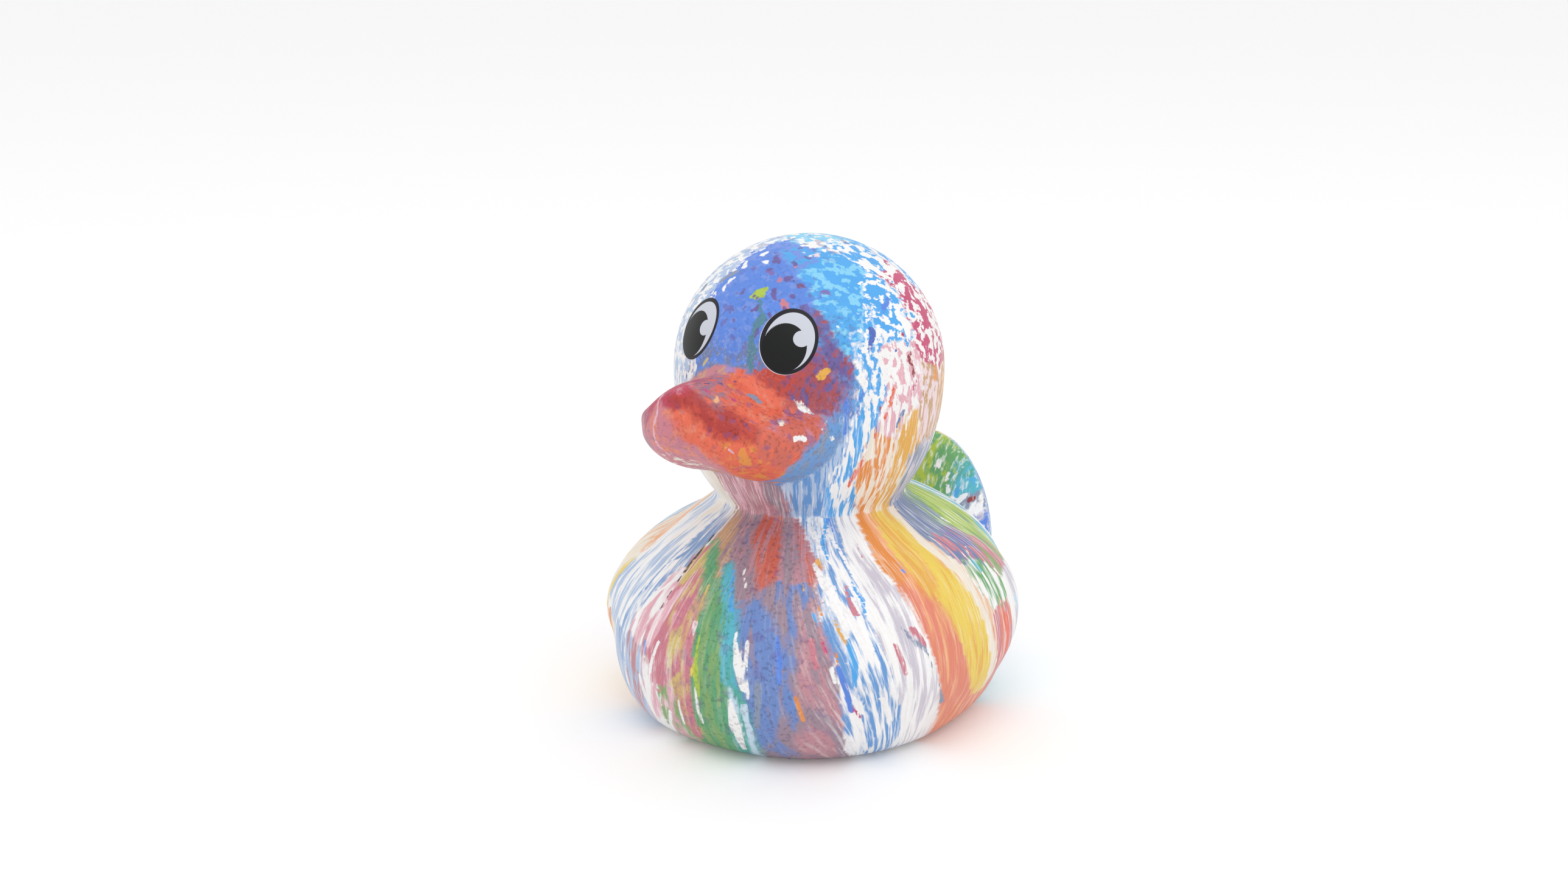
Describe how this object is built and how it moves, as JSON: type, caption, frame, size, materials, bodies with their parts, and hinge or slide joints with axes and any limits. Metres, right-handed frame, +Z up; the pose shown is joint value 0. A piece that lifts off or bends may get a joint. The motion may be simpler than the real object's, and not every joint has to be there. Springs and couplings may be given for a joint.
{
  "type": "rubber duck",
  "caption": "Hollow soft-vinyl bath duck with a broad bill, folded wings, an upturned tail, a flat base with a pressed-in squeaker, and a marbled film print.",
  "frame": {"origin": "on the floor, under the middle of the duck's box", "axes": "+Z up from the flat base to the crown, the bill points along -Y, +X is the duck's left side"},
  "size_m": [0.0662, 0.0788, 0.08],
  "materials": {
    "printed_vinyl": "satin, with a marbled colour film",
    "squeaker_plastic": "satin white",
    "reed_plastic": "thin clear-white strip"
  },
  "bodies": {
    "root": {"duck_body": "printed_vinyl", "squeaker_housing": "squeaker_plastic", "squeaker_cap": "squeaker_plastic", "squeaker_reed": "reed_plastic"}
  },
  "joints": []
}
